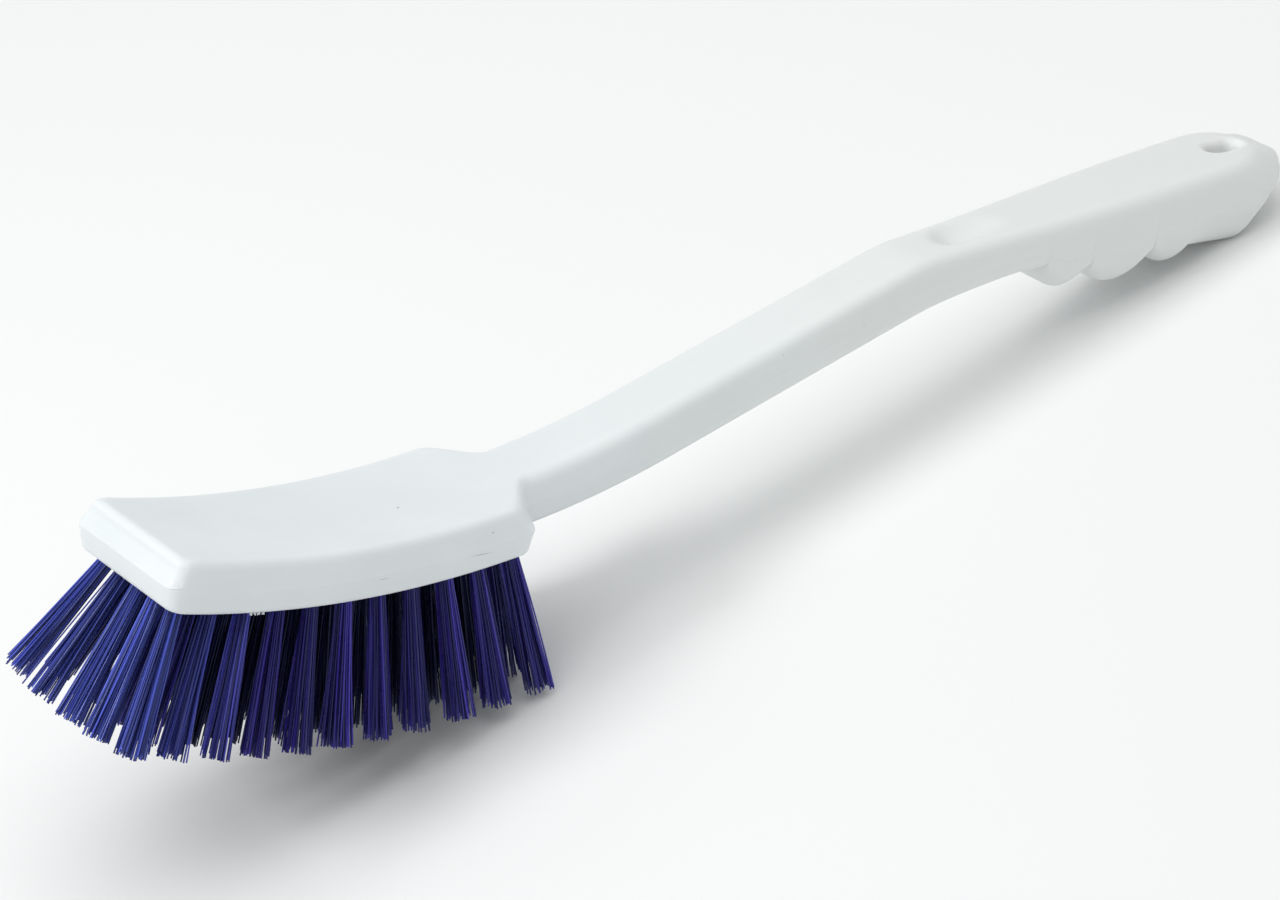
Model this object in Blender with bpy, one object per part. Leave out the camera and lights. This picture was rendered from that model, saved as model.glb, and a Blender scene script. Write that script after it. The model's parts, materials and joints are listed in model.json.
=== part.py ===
"""A moulded cleaning brush: an arched block, a curved handle and tufts of bristle.

Lengths are in metres. The body is drawn with its block level, with X from the front of the block
to the end of the handle, Y across it and Z up from the parting line's front end.
It is then tipped until the rear bristle tips and the handle's end lie on one plane,
which is how the brush lies on a table.
"""

import math
import random

import bmesh
import bpy
from mathutils import Matrix, Vector

# Block
BLOCK_HALF_WIDTH = 0.0290
BLOCK_TOP_HEIGHT = 0.0085
BLOCK_BOTTOM_DEPTH = 0.0076
BLOCK_ARCH_RADIUS = 0.3080
BLOCK_ARCH_MIDDLE = 0.0620
BLOCK_ARCH_END = 0.1120
BLOCK_CORNER_RADIUS = 0.0040
BLOCK_SIDE_DRAFT = 0.0011
BLOCK_FRONT_TOP_DRAFT = 0.0034
BLOCK_REAR_TOP_DRAFT = 0.0045
BLOCK_END_BOTTOM_DRAFT = 0.0008
BLOCK_TOP_EDGE_RADIUS = 0.0030
BLOCK_BOTTOM_EDGE_RADIUS = 0.0022
SHOULDER_START = 0.1190
SHOULDER_LENGTH = 0.0085

# Handle
HANDLE_REACH = 0.4088
NECK_HALF_WIDTH = 0.0137
WAIST_HALF_WIDTH = 0.0128
GRIP_HALF_WIDTH = 0.0180
SHAFT_PITCH = math.radians(20.6)
GRIP_PITCH = math.radians(9.4)
SHAFT_DRAFT = 0.0005
SHAFT_EDGE_RADIUS = 0.0042
TOP_BEND = 0.1444
TOP_BEND_HALF_LENGTH = 0.0280
BOTTOM_BEND = 0.1505
BOTTOM_BEND_HALF_LENGTH = 0.0290
KNEE_TOP = 0.2655
KNEE_TOP_HALF_LENGTH = 0.0050
KNEE_BOTTOM = 0.2767
KNEE_BOTTOM_HALF_LENGTH = 0.0130
WIDENING_LENGTH = 0.1050
GRIP_TOP_EDGE_RADIUS = 0.0048
GRIP_BOTTOM_EDGE_RADIUS = 0.0080
GRIP_END_EDGE_RADIUS = 0.0098
GRIP_END_DROP_LENGTH = 0.0205
GRIP_END_RISE_LENGTH = 0.0206
GRIP_END_RISE_HALF_LENGTH = 0.0016
GRIP_END_RISE_PITCH = math.radians(46.5)
GRIP_END_ROUNDING_LENGTH = 0.0020

# Finger grip: where the furrows lie and how deep furrows and lobes hang
FINGER_START = 0.3113
FINGER_DEPTH = 0.0126
furrow_place_shares = (0.0, 0.181, 0.419, 0.568, 1.0)
furrow_depth_shares = (0.0, 0.183, 0.394, 0.606, 0.876)
lobe_depth_shares = (0.713, 0.989, 0.924, 0.937)
lobe_bulge_share = 0.65
end_nose_share = 0.02

# The handle's edges stay smaller than the wall that they round
edge_limit_share = 0.90
draft_limit_share = 0.25

# Thumb dimple in the top of the grip
DIMPLE_PLACE = 0.2880
DIMPLE_LENGTH = 0.0320
DIMPLE_WIDTH = 0.0180
DIMPLE_DEPTH = 0.0014
DIMPLE_TALLNESS = 0.0060

# Hanging hole
HOLE_FROM_END = 0.0188
HOLE_LENGTH = 0.0140
HOLE_WIDTH = 0.0102
HOLE_RIM_RADIUS = 0.0018

# Tufts: a grid of drilled holes, one folded tuft in each
TUFT_COLUMNS = 11
TUFT_ROWS = 5
FIRST_COLUMN = 0.0070
LAST_COLUMN = 0.1172
OUTER_ROW = 0.0195
TUFT_HOLE_RADIUS = 0.0029
TUFT_HOLE_DEPTH = 0.0095
TUFT_CLEARANCE = 0.0003
TUFT_LENGTH = 0.0440
TUFT_LENGTH_SPREAD = 0.0012
TUFT_SLICE = 0.0004
FRONT_LEAN = math.radians(29.8)
REAR_LEAN = math.radians(10.2)
FRONT_OUTWARD_LEAN = math.radians(21.5)
REAR_OUTWARD_LEAN = math.radians(10.8)
TUFT_HOLE_SIDES = 8
TUFT_PATTERNS = 5

# Strands of a tuft: an inner and an outer ring
STRAND_RADIUS_ROOT = 0.00062
STRAND_RADIUS_TIP = 0.00085
STRAND_SIDES = 3
INNER_STRANDS = 3
INNER_ROOT_RING = 0.00066
INNER_TIP_RING = 0.0020
OUTER_STRANDS = 6
OUTER_ROOT_RING = 0.00170
OUTER_TIP_RING = 0.0050
TIP_WANDER = 0.00035

# Flat steel anchor driven across each fold, its ends at the hole's wall
ANCHOR_THICKNESS = 0.0004
ANCHOR_HEIGHT = 0.0024
ANCHOR_DEPTH = 0.0067
ANCHOR_END_GAP = 0.0001

# Places that follow from the sizes
NECK = SHOULDER_START + SHOULDER_LENGTH
GRIP_END_RISE = HANDLE_REACH - GRIP_END_RISE_LENGTH

# How finely the curves are drawn
EDGE_STEPS = 3
CORNER_STEPS = 4
SIDE_STEPS = 10
SHOULDER_STEPS = 9
SHAFT_STEPS = 15
GRIP_STEPS = 6
LOBE_STEPS = 8
NOSE_STEPS = 7
HOLE_STEPS = 5
DIMPLE_RIBS = 24
DIMPLE_RINGS = 17
REST_STEPS = 200
SMOOTH_ANGLE = math.radians(34.0)
CUT_OVERRUN = 0.0040

COLOURS = {
    "moulded_body": ((0.80, 0.84, 0.86, 1.0), 0.32, 0.0),
    "bristle_tuft": ((0.035, 0.045, 0.23, 1.0), 0.38, 0.0),
}


def clear_scene():
    for thing in list(bpy.data.objects):
        bpy.data.objects.remove(thing, do_unlink=True)


def make_material(name):
    colour, roughness, metallic = COLOURS[name]
    material = bpy.data.materials.new(name)
    material.use_nodes = True
    shader = material.node_tree.nodes["Principled BSDF"]
    shader.inputs["Base Color"].default_value = colour
    shader.inputs["Roughness"].default_value = roughness
    shader.inputs["Metallic"].default_value = metallic
    material.diffuse_color = colour
    return material


def add_object(name, mesh, material, parent):
    thing = bpy.data.objects.new(name, mesh)
    bpy.context.scene.collection.objects.link(thing)
    if not mesh.materials:
        mesh.materials.append(material)
    thing.parent = parent
    return thing


def mesh_from(bm, name):
    bmesh.ops.recalc_face_normals(bm, faces=bm.faces)
    mesh = bpy.data.meshes.new(name)
    bm.to_mesh(mesh)
    bm.free()
    mesh.shade_smooth()
    mesh.set_sharp_from_angle(angle=SMOOTH_ANGLE)
    return mesh


def blend(first, last, share):
    return first + (last - first) * share


def spread(first, last, steps):
    return [blend(first, last, step / steps) for step in range(steps + 1)]


# Side profile of the body

def arch_height(x, above):
    """Height, at x, of the arch that lies this far above the parting line."""
    centre = math.sqrt(BLOCK_ARCH_RADIUS ** 2 - BLOCK_ARCH_MIDDLE ** 2)
    radius = BLOCK_ARCH_RADIUS - above
    return centre - math.sqrt(radius ** 2 - (x - BLOCK_ARCH_MIDDLE) ** 2)


def arch_slope(x, above):
    radius = BLOCK_ARCH_RADIUS - above
    along = x - BLOCK_ARCH_MIDDLE
    return along / math.sqrt(radius ** 2 - along ** 2)


def bend(distance, half_length):
    """Zero before a bend, the distance after it, and a smooth curve between."""
    if distance <= -half_length:
        return 0.0
    if distance >= half_length:
        return distance
    return (distance + half_length) ** 2 / (4 * half_length)


def body_height(x, above):
    """Height, at x, of a line that runs this far above the parting line.

    It follows the block's arch, bends up into the shaft and eases into the grip.
    """
    if x <= BLOCK_ARCH_END:
        return arch_height(x, above)
    upper = (above + BLOCK_BOTTOM_DEPTH) / (BLOCK_TOP_HEIGHT + BLOCK_BOTTOM_DEPTH)
    first_bend = x - blend(BOTTOM_BEND, TOP_BEND, upper)
    knee = x - blend(KNEE_BOTTOM, KNEE_TOP, upper)
    start_slope = arch_slope(BLOCK_ARCH_END, above)
    shaft_slope = math.tan(SHAFT_PITCH)
    grip_slope = math.tan(GRIP_PITCH)
    height = arch_height(BLOCK_ARCH_END, above) + start_slope * (x - BLOCK_ARCH_END)
    height += (shaft_slope - start_slope) * bend(
        first_bend, blend(BOTTOM_BEND_HALF_LENGTH, TOP_BEND_HALF_LENGTH, upper))
    height += (grip_slope - shaft_slope) * bend(
        knee, blend(KNEE_BOTTOM_HALF_LENGTH, KNEE_TOP_HALF_LENGTH, upper))
    return height


def land_height(x):
    """Top line of the handle, before its end is rounded."""
    return body_height(x, BLOCK_TOP_HEIGHT)


def finger_depth(x):
    """How far the finger lobes hang below the plain underside at x."""
    share = (x - FINGER_START) / (HANDLE_REACH - FINGER_START)
    if share <= 0.0:
        return 0.0
    for lobe, peak in enumerate(lobe_depth_shares):
        start, end = furrow_place_shares[lobe:lobe + 2]
        if share <= end or lobe == len(lobe_depth_shares) - 1:
            along = min((share - start) / (end - start), 1.0)
            first, last = furrow_depth_shares[lobe:lobe + 2]
            straight = first + (last - first) * along
            rise = peak - (first + last) / 2
            bulge = max(1.0 - (2 * along - 1) ** 2, 0.0) ** lobe_bulge_share
            return FINGER_DEPTH * (straight + rise * bulge)


def underside_height(x):
    """Bottom line of the body, before its end is rounded."""
    return body_height(x, -BLOCK_BOTTOM_DEPTH) - finger_depth(x)


def slanted_height(x):
    """Underside with the slant that rises to the handle's end."""
    slant = math.tan(GRIP_END_RISE_PITCH) * bend(x - GRIP_END_RISE, GRIP_END_RISE_HALF_LENGTH)
    return underside_height(min(x, GRIP_END_RISE)) + slant


def nose_height():
    """Height of the foremost point of the handle's rounded end."""
    return blend(slanted_height(HANDLE_REACH), land_height(HANDLE_REACH), end_nose_share)


def rounded_away(x, length):
    """Share of a quarter ellipse that has been turned, this long before the end."""
    along = (x - HANDLE_REACH + length) / length
    return 1.0 - math.sqrt(1.0 - min(max(along, 0.0), 1.0) ** 2)


def top_height(x):
    return blend(land_height(x), nose_height(), rounded_away(x, GRIP_END_DROP_LENGTH))


def bottom_height(x):
    return blend(slanted_height(x), nose_height(), rounded_away(x, GRIP_END_ROUNDING_LENGTH))


def ease(share):
    share = min(max(share, 0.0), 1.0)
    return (1.0 - math.cos(math.pi * share)) / 2


def gripping(x):
    """Zero on the shaft, one on the grip, and eased between."""
    return ease((x - KNEE_TOP) / WIDENING_LENGTH)


def handle_half_width(x):
    slimming = min((x - NECK) / (KNEE_TOP - NECK), 1.0)
    shaft = blend(NECK_HALF_WIDTH, WAIST_HALF_WIDTH, slimming)
    return blend(shaft, GRIP_HALF_WIDTH, gripping(x))


# Cross section of the body, from the bottom face's edge up to the top face's edge

def section(above, below, top_draft, bottom_draft, top_radius, bottom_radius):
    """Points of half a section: how far in from the parting line, and how high."""
    points = []
    for angle in spread(0.0, math.pi / 2, EDGE_STEPS):
        inset = bottom_draft + bottom_radius * (1 - math.sin(angle))
        points.append((inset, -below + bottom_radius * (1 - math.cos(angle))))
    points.append((0.0, 0.0))
    for angle in spread(0.0, math.pi / 2, EDGE_STEPS):
        inset = top_draft + top_radius * (1 - math.cos(angle))
        points.append((inset, above - top_radius * (1 - math.sin(angle))))
    return points


def block_section(draft_above, draft_below):
    return section(BLOCK_TOP_HEIGHT, BLOCK_BOTTOM_DEPTH, draft_above, draft_below,
                   BLOCK_TOP_EDGE_RADIUS, BLOCK_BOTTOM_EDGE_RADIUS)


def block_stations():
    """Columns of points up the block's far side, from its front end to the neck."""
    front = block_section(BLOCK_FRONT_TOP_DRAFT, BLOCK_END_BOTTOM_DRAFT)
    side = block_section(BLOCK_SIDE_DRAFT, BLOCK_SIDE_DRAFT)
    rear = block_section(BLOCK_REAR_TOP_DRAFT, BLOCK_END_BOTTOM_DRAFT)
    neck = section(BLOCK_TOP_HEIGHT, BLOCK_BOTTOM_DEPTH, SHAFT_DRAFT, SHAFT_DRAFT,
                   SHAFT_EDGE_RADIUS, SHAFT_EDGE_RADIUS)
    corner = BLOCK_CORNER_RADIUS
    corners = [[] for _ in range(CORNER_STEPS + 1)]
    sides = [[] for _ in range(SIDE_STEPS)]
    shoulders = [[] for _ in range(SHOULDER_STEPS)]
    for level, (inset, height) in enumerate(side):
        front_x = front[level][0]
        shoulder_x = SHOULDER_START - rear[level][0]
        y = BLOCK_HALF_WIDTH - inset
        for column, angle in zip(corners, spread(0.0, math.pi / 2, CORNER_STEPS)):
            x = front_x + corner * (1 - math.cos(angle))
            column.append((x, y - corner * (1 - math.sin(angle)), height))
        for column, x in zip(sides, spread(front_x + corner, shoulder_x, SIDE_STEPS)[1:]):
            column.append((x, y, height))
        neck_inset, neck_height = neck[level]
        for column, share in zip(shoulders, spread(0.0, 1.0, SHOULDER_STEPS)[1:]):
            column.append((blend(shoulder_x, NECK, share),
                           blend(y, NECK_HALF_WIDTH - neck_inset, ease(share)),
                           blend(height, neck_height, share)))
    return [[Vector((x, y, body_height(x, height))) for x, y, height in column]
            for column in corners + sides + shoulders]


def handle_station(x, half_width):
    top = top_height(x)
    bottom = bottom_height(x)
    fingering = ease((x - KNEE_BOTTOM) / (FINGER_START - KNEE_BOTTOM))
    ending = ease(1.0 - (HANDLE_REACH - x) / GRIP_HALF_WIDTH)
    top_radius = blend(SHAFT_EDGE_RADIUS, GRIP_TOP_EDGE_RADIUS, gripping(x))
    top_radius = blend(top_radius, GRIP_END_EDGE_RADIUS, ending)
    bottom_radius = blend(SHAFT_EDGE_RADIUS, GRIP_BOTTOM_EDGE_RADIUS, fingering)
    above = (top - bottom) * BLOCK_TOP_HEIGHT / (BLOCK_TOP_HEIGHT + BLOCK_BOTTOM_DEPTH)
    below = (top - bottom) - above
    draft = min(SHAFT_DRAFT, half_width * draft_limit_share)
    room = (half_width - draft) * edge_limit_share
    column = []
    for inset, height in section(above, below, draft, draft,
                                 min(top_radius, room, above * edge_limit_share),
                                 min(bottom_radius, room, below * edge_limit_share)):
        column.append(Vector((x, half_width - inset, bottom + below + height)))
    return column


def handle_stations():
    places = spread(NECK, KNEE_TOP - KNEE_TOP_HALF_LENGTH, SHAFT_STEPS)[1:]
    places += spread(KNEE_TOP, FINGER_START, GRIP_STEPS)
    finger_length = HANDLE_REACH - FINGER_START
    for lobe in range(len(lobe_depth_shares)):
        start = FINGER_START + finger_length * furrow_place_shares[lobe]
        end = FINGER_START + finger_length * furrow_place_shares[lobe + 1]
        for share in spread(0.0, 1.0, LOBE_STEPS)[1:]:
            place = start + (end - start) * ease(share)
            if place < HANDLE_REACH - GRIP_HALF_WIDTH:
                places.append(place)
    stations = [handle_station(x, handle_half_width(x)) for x in places]
    for angle in spread(0.0, math.pi / 2, NOSE_STEPS)[:-1]:
        x = HANDLE_REACH - GRIP_HALF_WIDTH * (1 - math.sin(angle))
        stations.append(handle_station(x, GRIP_HALF_WIDTH * math.cos(angle)))
    return stations


def loft(stations):
    """Skin over the stations, mirrored to the near side and closed at both ends."""
    bm = bmesh.new()
    far = [[bm.verts.new(point) for point in column] for column in stations]
    near = [[bm.verts.new(Vector((point.x, -point.y, point.z))) for point in column]
            for column in stations]
    levels = len(stations[0])
    for here in range(len(stations) - 1):
        there = here + 1
        for level in range(levels - 1):
            up = level + 1
            bm.faces.new((far[here][level], far[there][level], far[there][up], far[here][up]))
            bm.faces.new((near[here][level], near[here][up], near[there][up], near[there][level]))
        for level in (0, levels - 1):
            bm.faces.new((near[here][level], far[here][level], far[there][level], near[there][level]))
    for end in (0, -1):
        for level in range(levels - 1):
            up = level + 1
            bm.faces.new((near[end][level], far[end][level], far[end][up], near[end][up]))
    return bm


# Cutters

def add_cutter(name, bm, parent):
    cutter = bpy.data.objects.new(name, mesh_from(bm, name))
    bpy.context.scene.collection.objects.link(cutter)
    cutter.parent = parent
    cutter.hide_render = True
    cutter.display_type = "WIRE"
    return cutter


def combine(target, other, operation="DIFFERENCE"):
    modifier = target.modifiers.new(other.name, "BOOLEAN")
    modifier.operation = operation
    modifier.object = other


def dimple_cutter():
    """A flattened ball whose cap sinks into the grip's top face."""
    bm = bmesh.new()
    bmesh.ops.create_uvsphere(bm, u_segments=DIMPLE_RIBS, v_segments=DIMPLE_RINGS, radius=1.0)
    # The cap that reaches below the face is narrower than the ball
    cap_share = math.sqrt(1 - (1 - DIMPLE_DEPTH / DIMPLE_TALLNESS) ** 2)
    sizes = Vector((DIMPLE_LENGTH / 2 / cap_share, DIMPLE_WIDTH / 2 / cap_share, DIMPLE_TALLNESS))
    place = Vector((DIMPLE_PLACE, 0.0, land_height(DIMPLE_PLACE)))
    rise = Vector((0.0, 0.0, DIMPLE_TALLNESS - DIMPLE_DEPTH))
    turn = Matrix.Rotation(-GRIP_PITCH, 4, "Y")
    bm.transform(Matrix.Translation(place) @ turn @ Matrix.Translation(rise)
                 @ Matrix.Diagonal(sizes.to_4d()))
    return bm


def slot_ring(bm, half_length, half_width, height):
    """A slot outline: two half circles with straight sides between."""
    shift = half_length - half_width
    verts = []
    for side in (1, -1):
        for angle in spread(-math.pi / 2, math.pi / 2, HOLE_STEPS):
            x = side * (shift + half_width * math.cos(angle))
            verts.append(bm.verts.new((x, side * half_width * math.sin(angle), height)))
    return verts


def hole_cutter():
    """Slot through the grip's end, flared at each face by the rim's radius."""
    place_x = HANDLE_REACH - HOLE_FROM_END
    top = land_height(place_x)
    thickness = (top - underside_height(place_x)) / math.cos(GRIP_PITCH)
    bm = bmesh.new()
    levels = [(CUT_OVERRUN, HOLE_RIM_RADIUS)]
    for angle in spread(0.0, math.pi / 2, EDGE_STEPS):
        levels.append((HOLE_RIM_RADIUS * (math.cos(angle) - 1) if angle else 0.0,
                       HOLE_RIM_RADIUS * (1 - math.sin(angle))))
    rings = []
    lower = [(-thickness - height, flare) for height, flare in reversed(levels)]
    for height, flare in levels + lower:
        rings.append(slot_ring(bm, HOLE_LENGTH / 2 + flare, HOLE_WIDTH / 2 + flare, height))
    count = len(rings[0])
    for upper_ring, lower_ring in zip(rings, rings[1:]):
        for index in range(count):
            after = (index + 1) % count
            bm.faces.new((upper_ring[index], lower_ring[index], lower_ring[after], upper_ring[after]))
    bm.faces.new(rings[0])
    bm.faces.new(reversed(rings[-1]))
    place = Vector((place_x, 0.0, top))
    bm.transform(Matrix.Translation(place) @ Matrix.Rotation(-GRIP_PITCH, 4, "Y"))
    return bm


# Tufts

def tuft_place(column, row):
    """Matrix that takes a tuft, drawn along +Z from its mouth, to its place."""
    along = column / (TUFT_COLUMNS - 1)
    across = 2 * row / (TUFT_ROWS - 1) - 1
    x = blend(FIRST_COLUMN, LAST_COLUMN, along)
    mouth = Vector((x, OUTER_ROW * across, arch_height(x, -BLOCK_BOTTOM_DEPTH)))
    forward = blend(-FRONT_LEAN, REAR_LEAN, along)
    outward = blend(FRONT_OUTWARD_LEAN, REAR_OUTWARD_LEAN, along) * across
    axis = Vector((math.tan(forward), math.tan(outward), -1.0)).normalized()
    side = Vector((0.0, 1.0, 0.0)).cross(axis).normalized()
    turn = Matrix((side, axis.cross(side), axis)).transposed().to_4x4()
    return Matrix.Translation(mouth) @ turn


def polygon(bm, sides, radius, centre, height, phase=0.0):
    verts = []
    for index in range(sides):
        angle = phase + 2 * math.pi * index / sides
        verts.append(bm.verts.new((centre[0] + radius * math.cos(angle),
                                   centre[1] + radius * math.sin(angle), height)))
    return verts


def skin(bm, lower, upper):
    for index, vert in enumerate(lower):
        after = (index + 1) % len(lower)
        bm.faces.new((vert, lower[after], upper[after], upper[index]))


def octagon_phase():
    return math.pi / TUFT_HOLE_SIDES


def hole_grid_cutter():
    bm = bmesh.new()
    for column in range(TUFT_COLUMNS):
        for row in range(TUFT_ROWS):
            bottom = polygon(bm, TUFT_HOLE_SIDES, TUFT_HOLE_RADIUS, (0.0, 0.0),
                             -TUFT_HOLE_DEPTH, octagon_phase())
            top = polygon(bm, TUFT_HOLE_SIDES, TUFT_HOLE_RADIUS, (0.0, 0.0),
                          CUT_OVERRUN, octagon_phase())
            skin(bm, bottom, top)
            bm.faces.new(reversed(bottom))
            bm.faces.new(top)
            bmesh.ops.transform(bm, matrix=tuft_place(column, row), verts=bottom + top)
    return bm


def strand_rings():
    """Root and tip places of the strands, on an inner and an outer ring."""
    places = []
    for count, root_ring, tip_ring, phase in (
            (INNER_STRANDS, INNER_ROOT_RING, INNER_TIP_RING, 0.0),
            (OUTER_STRANDS, OUTER_ROOT_RING, OUTER_TIP_RING, math.pi / OUTER_STRANDS)):
        for index in range(count):
            angle = phase + 2 * math.pi * index / count
            places.append((angle, root_ring, tip_ring))
    return places


def tuft_mesh(pattern):
    """Folded root in its hole, with the strands growing from the root's mouth end."""
    draw = random.Random(pattern)
    radius = TUFT_HOLE_RADIUS - TUFT_CLEARANCE
    deep = TUFT_CLEARANCE - TUFT_HOLE_DEPTH
    bm = bmesh.new()
    bottom = polygon(bm, TUFT_HOLE_SIDES, radius, (0.0, 0.0), deep, octagon_phase())
    mouth = polygon(bm, TUFT_HOLE_SIDES, radius, (0.0, 0.0), TUFT_SLICE, octagon_phase())
    skin(bm, bottom, mouth)
    bm.faces.new(reversed(bottom))
    edges = [bm.edges.get((vert, mouth[(index + 1) % len(mouth)]))
             for index, vert in enumerate(mouth)]
    for angle, root_ring, tip_ring in strand_rings():
        root_centre = (root_ring * math.cos(angle), root_ring * math.sin(angle))
        wander = (draw.uniform(-TIP_WANDER, TIP_WANDER), draw.uniform(-TIP_WANDER, TIP_WANDER))
        tip_centre = (tip_ring * math.cos(angle) + wander[0], tip_ring * math.sin(angle) + wander[1])
        length = TUFT_LENGTH + draw.uniform(-TUFT_LENGTH_SPREAD, TUFT_LENGTH_SPREAD)
        root = polygon(bm, STRAND_SIDES, STRAND_RADIUS_ROOT, root_centre, TUFT_SLICE, angle)
        tip = polygon(bm, STRAND_SIDES, STRAND_RADIUS_TIP, tip_centre, length, angle)
        skin(bm, root, tip)
        bm.faces.new(tip)
        edges += [bm.edges.get((vert, root[(index + 1) % STRAND_SIDES]))
                  for index, vert in enumerate(root)]
    bmesh.ops.triangle_fill(bm, use_beauty=True, edges=edges)
    return mesh_from(bm, "tuft_pattern_%d" % pattern)


def anchor_bm():
    """Flat plate across the tuft's fold, from wall to wall of its hole."""
    span = 2 * (TUFT_HOLE_RADIUS * math.cos(octagon_phase()) - ANCHOR_END_GAP)
    sizes = Vector((ANCHOR_THICKNESS, span, ANCHOR_HEIGHT))
    bm = bmesh.new()
    bmesh.ops.create_cube(bm, size=1.0)
    bm.transform(Matrix.Translation((0.0, 0.0, -ANCHOR_DEPTH)) @ Matrix.Diagonal(sizes.to_4d()))
    return bm


def fuse_anchor(meshes, anchor):
    """Join the anchor to the folded root in each pattern that the tufts share."""
    for mesh in meshes:
        holder = bpy.data.objects.new("pattern_holder", mesh)
        bpy.context.scene.collection.objects.link(holder)
        combine(holder, anchor, "UNION")
        bpy.context.view_layer.update()
        graph = bpy.context.evaluated_depsgraph_get()
        joined = bmesh.new()
        joined.from_mesh(holder.evaluated_get(graph).data)
        bpy.data.objects.remove(holder, do_unlink=True)
        joined.to_mesh(mesh)
        joined.free()


# Rest: the brush lies on its rear bristle tips and the handle's end

def rest_tilt():
    """Pitch of the line that touches the tips and the handle from below."""
    reach = TUFT_LENGTH + TUFT_LENGTH_SPREAD
    tips = []
    for column in range(TUFT_COLUMNS):
        for row in range(TUFT_ROWS):
            for side in (-1, 1):
                tips.append(tuft_place(column, row) @ Vector((side * OUTER_TIP_RING, 0.0, reach)))
    undersides = [(x, bottom_height(x)) for x in spread(FINGER_START, HANDLE_REACH, REST_STEPS)]
    slopes = [min((z - tip.z) / (x - tip.x) for x, z in undersides) for tip in tips]
    return math.atan(max(slopes))


def settle(root, things):
    """Put the middle of the model's footprint at the origin, on the ground."""
    bpy.context.view_layer.update()
    graph = bpy.context.evaluated_depsgraph_get()
    low = Vector((math.inf, math.inf, math.inf))
    high = -low
    for thing in things:
        shape = thing.evaluated_get(graph)
        for vert in shape.data.vertices:
            place = shape.matrix_world @ vert.co
            low = Vector(map(min, low, place))
            high = Vector(map(max, high, place))
    root.location -= Vector(((low.x + high.x) / 2, (low.y + high.y) / 2, low.z))


def build():
    clear_scene()
    root = bpy.data.objects.new("brush_frame", None)
    bpy.context.scene.collection.objects.link(root)
    root.rotation_euler.y = rest_tilt()
    materials = {name: make_material(name) for name in COLOURS}

    body_mesh = mesh_from(loft(block_stations() + handle_stations()), "moulded_body")
    body = add_object("moulded_body", body_mesh, materials["moulded_body"], root)
    combine(body, add_cutter("tuft_holes", hole_grid_cutter(), root))
    combine(body, add_cutter("thumb_dimple", dimple_cutter(), root))
    combine(body, add_cutter("hanging_hole", hole_cutter(), root))
    things = [body]

    meshes = [tuft_mesh(pattern) for pattern in range(TUFT_PATTERNS)]
    anchor = add_cutter("tuft_anchor", anchor_bm(), None)
    fuse_anchor(meshes, anchor)
    bpy.data.objects.remove(anchor, do_unlink=True)
    for row in range(TUFT_ROWS):
        for column in range(TUFT_COLUMNS):
            mesh = meshes[(column * 2 + row * 3) % TUFT_PATTERNS]
            name = "tuft_row%d_%02d" % (row + 1, column + 1)
            tuft = add_object(name, mesh, materials["bristle_tuft"], root)
            tuft.matrix_local = tuft_place(column, row)
            things.append(tuft)
    settle(root, things)


build()
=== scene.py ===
# %% [markdown]
# # A cleaning brush with a moulded handle
# The brush is a single white moulding, a block bent like a rocker that runs on into a curved
# handle, with fifty-five tufts of stiff blue filament stapled into drilled holes.
# The CAD model already has the block, the handle and a plain form of every tuft.
# This lesson dresses it: a finer moulding with its parting line and finger hollows,
# tufts made of single filaments, and the finishes of plastic, filament and steel.

# %% Tools and the frame
import json
import math
import random

import bmesh
import bpy
from mathutils import Matrix, Vector

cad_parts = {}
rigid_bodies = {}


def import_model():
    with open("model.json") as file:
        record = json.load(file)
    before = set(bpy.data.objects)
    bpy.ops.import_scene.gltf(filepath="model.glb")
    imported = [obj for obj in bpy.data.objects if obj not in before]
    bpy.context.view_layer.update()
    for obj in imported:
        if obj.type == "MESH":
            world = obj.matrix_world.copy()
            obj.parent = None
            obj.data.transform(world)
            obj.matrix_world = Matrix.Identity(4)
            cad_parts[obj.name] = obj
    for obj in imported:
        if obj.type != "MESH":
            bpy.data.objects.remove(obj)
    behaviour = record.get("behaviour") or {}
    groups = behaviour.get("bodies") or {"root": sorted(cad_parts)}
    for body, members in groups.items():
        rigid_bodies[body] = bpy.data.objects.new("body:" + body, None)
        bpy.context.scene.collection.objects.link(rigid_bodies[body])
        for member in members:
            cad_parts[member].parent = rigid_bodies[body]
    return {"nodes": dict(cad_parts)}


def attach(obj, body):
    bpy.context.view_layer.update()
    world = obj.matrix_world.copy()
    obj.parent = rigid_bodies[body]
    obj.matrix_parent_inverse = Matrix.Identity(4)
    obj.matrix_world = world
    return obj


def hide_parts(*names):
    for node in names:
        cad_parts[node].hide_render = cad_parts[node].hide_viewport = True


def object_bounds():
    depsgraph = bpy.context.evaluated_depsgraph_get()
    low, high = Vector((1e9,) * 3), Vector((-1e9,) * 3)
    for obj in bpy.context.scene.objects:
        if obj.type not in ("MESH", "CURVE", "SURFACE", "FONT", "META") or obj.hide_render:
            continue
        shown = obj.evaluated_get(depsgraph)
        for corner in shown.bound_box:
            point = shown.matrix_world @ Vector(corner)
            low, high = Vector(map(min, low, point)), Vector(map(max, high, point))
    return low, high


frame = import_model()
cad_low, cad_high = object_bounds()
MM = 0.001
print("CAD nodes:", len(frame["nodes"]), "in a box of",
      [round(side / MM, 1) for side in cad_high - cad_low], "mm")

# %% [markdown]
# ## The moulder's frame
# A mould is drawn with the block level, so the body is easiest to model that way too:
# X runs from the front of the block to the end of the handle, Y across it, and Z up from
# the parting line. On a table the brush tips over until its rear tips and the end of the
# handle both touch, so the finished meshes are turned by that pitch and shifted at the end.
# The meshes themselves are turned, and the objects stay at the origin.

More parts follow.
